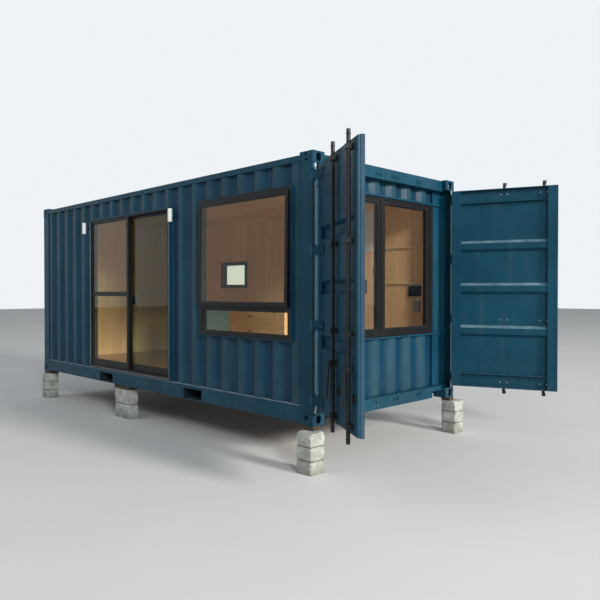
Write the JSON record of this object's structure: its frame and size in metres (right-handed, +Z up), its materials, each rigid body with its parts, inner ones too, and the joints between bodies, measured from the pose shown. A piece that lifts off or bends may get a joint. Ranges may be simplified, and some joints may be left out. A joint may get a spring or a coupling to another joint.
{
  "type": "shipping container cabin",
  "caption": "Steel container turned into a cabin: glazed sliding door, side window, recessed end wall with window behind open container doors, block piers.",
  "frame": {"origin": "middle of the underside of the block pier at the corner between the glazed side and the container's door end; the container's own middle is 3.009 m towards -X and 1.229 m towards +Y", "axes": "+X along the container to its own door end, -Y out of the glazed side, +Z up"},
  "size_m": [7.1873, 3.4065, 3.021],
  "materials": {
    "container_paint": "weathered satin paint",
    "underframe_paint": "matt bitumen paint",
    "rod_paint": "satin black paint",
    "window_bronze": "powder coat",
    "glass": "clear",
    "plywood": "oiled",
    "bench_teal": "painted and oiled fronts",
    "gasket_rubber": "matt",
    "white_plastic": "gloss",
    "pull_metal": "satin",
    "concrete": "rough concrete",
    "timber_packer": "rough"
  },
  "bodies": {
    "cabin": {"corner_castings": "container_paint", "corner_posts": "container_paint", "top_rails": "container_paint", "bottom_rails": "container_paint", "door_header": "container_paint", "door_sill_beam": "container_paint", "cross_members": "underframe_paint", "fork_pockets": "underframe_paint", "roof_panel": "container_paint", "front_wall_sides": "container_paint", "front_wall_over_door": "container_paint", "front_wall_window_bays": "container_paint", "rear_wall_sides": "container_paint", "rear_wall_window_bays": "container_paint", "blind_end_wall": "container_paint", "end_wall_sides": "container_paint", "end_wall_window_bays": "container_paint", "opening_trims": "container_paint", "end_window_flashings": "container_paint", "sliding_door_frame": "window_bronze", "fixed_door_panel": "window_bronze", "side_window_frame": "window_bronze", "side_window_sash": "window_bronze", "end_window_frame": "window_bronze", "end_window_sashes": "window_bronze", "rear_window_frame": "window_bronze", "floor_deck": "plywood", "wall_linings": "plywood", "ceiling_lining": "plywood", "kitchen_bench": "plywood", "window_glass": "glass", "bench_fronts": "bench_teal", "wall_lights": "white_plastic", "block_piers": "concrete", "pier_packers": "timber_packer"},
    "sliding_panel": {"sliding_door_panel": "window_bronze", "sliding_door_glass": "glass", "sliding_door_pull": "pull_metal"},
    "left_container_door": {"left_door_leaf": "container_paint", "left_door_gasket": "gasket_rubber", "left_door_hinges": "container_paint", "left_door_rod_guides": "rod_paint"},
    "left_inner_rod": {"left_inner_lock_rod": "rod_paint"},
    "left_outer_rod": {"left_outer_lock_rod": "rod_paint"},
    "right_container_door": {"right_door_leaf": "container_paint", "right_door_gasket": "gasket_rubber", "right_door_hinges": "container_paint", "right_door_rod_guides": "rod_paint"},
    "right_inner_rod": {"right_inner_lock_rod": "rod_paint"},
    "right_outer_rod": {"right_outer_lock_rod": "rod_paint"}
  },
  "joints": [
    {"name": "left_door_hinge", "type": "hinge", "parent": "cabin", "child": "left_container_door", "pos_m": [0.001, 0.031, 1.73], "axis": [0, 0, -1], "range_deg": [-121.5, 113.5]},
    {"name": "left_inner_rod_turn", "type": "hinge", "parent": "left_container_door", "child": "left_inner_rod", "pos_m": [0.52895, -0.27493, 1.73], "axis": [0, 0, 1], "range_deg": [0, 90]},
    {"name": "left_outer_rod_turn", "type": "hinge", "parent": "left_container_door", "child": "left_outer_rod", "pos_m": [0.89729, -0.50065, 1.73], "axis": [0, 0, 1], "range_deg": [0, 90]},
    {"name": "right_door_hinge", "type": "hinge", "parent": "cabin", "child": "right_container_door", "pos_m": [0.001, 2.427, 1.73], "axis": [0, 0, 1], "range_deg": [-111, 143]},
    {"name": "right_inner_rod_turn", "type": "hinge", "parent": "right_container_door", "child": "right_inner_rod", "pos_m": [0.57586, 2.6316, 1.73], "axis": [0, 0, -1], "range_deg": [0, 90]},
    {"name": "right_outer_rod_turn", "type": "hinge", "parent": "right_container_door", "child": "right_outer_rod", "pos_m": [0.97917, 2.78642, 1.73], "axis": [0, 0, -1], "range_deg": [0, 90]},
    {"name": "sliding_panel_slide", "type": "slide", "parent": "cabin", "child": "sliding_panel", "axis": [-1, 0, 0], "range_m": [0, 0.88]}
  ]
}
